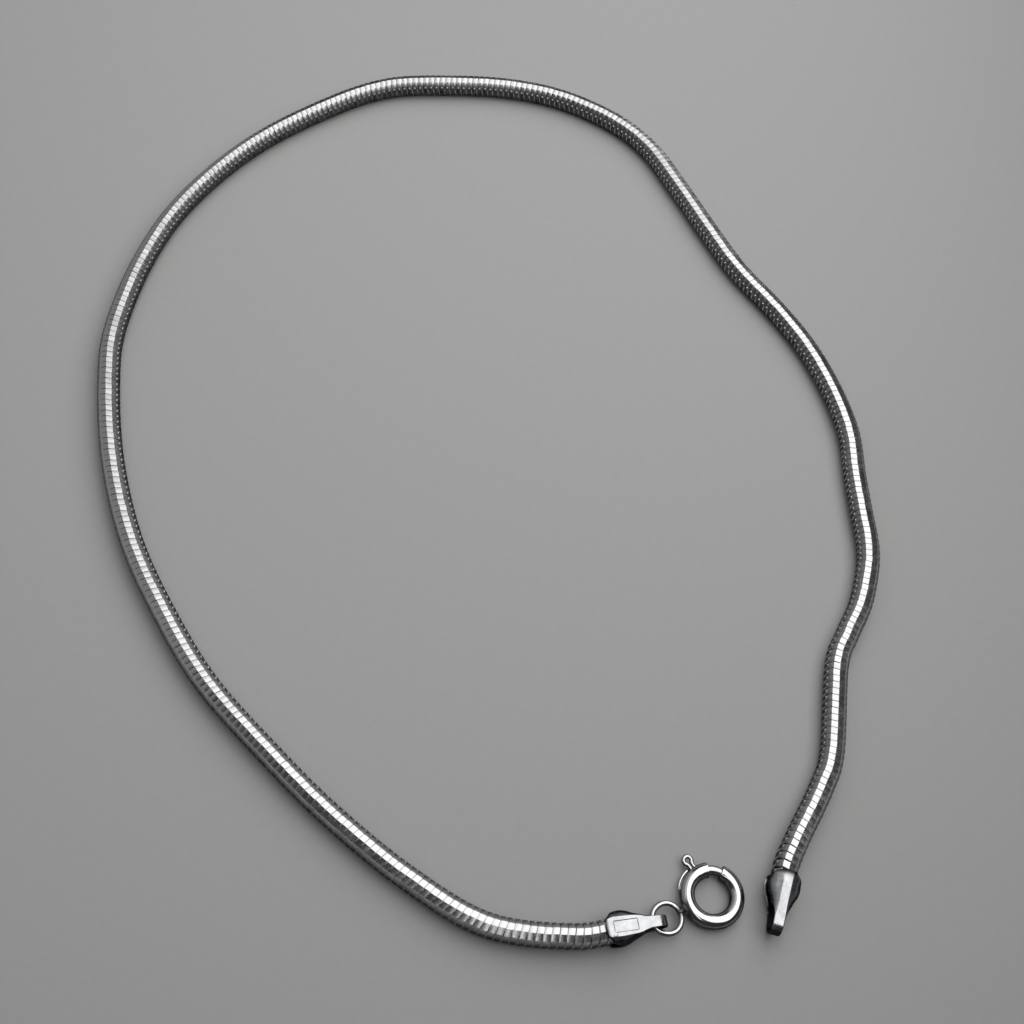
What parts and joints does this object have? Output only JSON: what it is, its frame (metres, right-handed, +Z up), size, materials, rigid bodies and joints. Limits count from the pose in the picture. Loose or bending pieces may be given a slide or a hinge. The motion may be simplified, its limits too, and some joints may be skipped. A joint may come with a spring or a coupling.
{
  "type": "snake chain necklace",
  "caption": "Round snake chain necklace laid open, with folded sheet end caps and a spring ring clasp whose knobbed trigger slides back along the ring.",
  "frame": {"origin": "on the surface that the necklace lies on, under the middle of its laid outline", "axes": "+Z up from the surface; the clasp lies on the -Y side and the middle of the chain on the +Y side; +X to the right seen from above with the clasp nearest"},
  "size_m": [0.1204, 0.1453, 0.0045],
  "materials": {
    "chain_silver": "polished plates with darkened gaps",
    "cap_silver": "polished, softly worn",
    "clasp_silver": "polished, softly worn",
    "trigger_silver": "polished, softly worn"
  },
  "bodies": {
    "necklace": {"snake_chain": "chain_silver", "clasp_end_cap": "cap_silver", "free_end_cap": "cap_silver", "spring_ring": "clasp_silver"},
    "trigger": {"trigger": "trigger_silver"}
  },
  "joints": [
    {"name": "trigger_slide", "type": "hinge", "parent": "necklace", "child": "trigger", "pos_m": [0.03827, -0.06289, 0.00113], "axis": [0.0405, 0.0263, 0.9988], "range_deg": [0, 39], "stiffness_Nm_per_rad": 0.006}
  ]
}
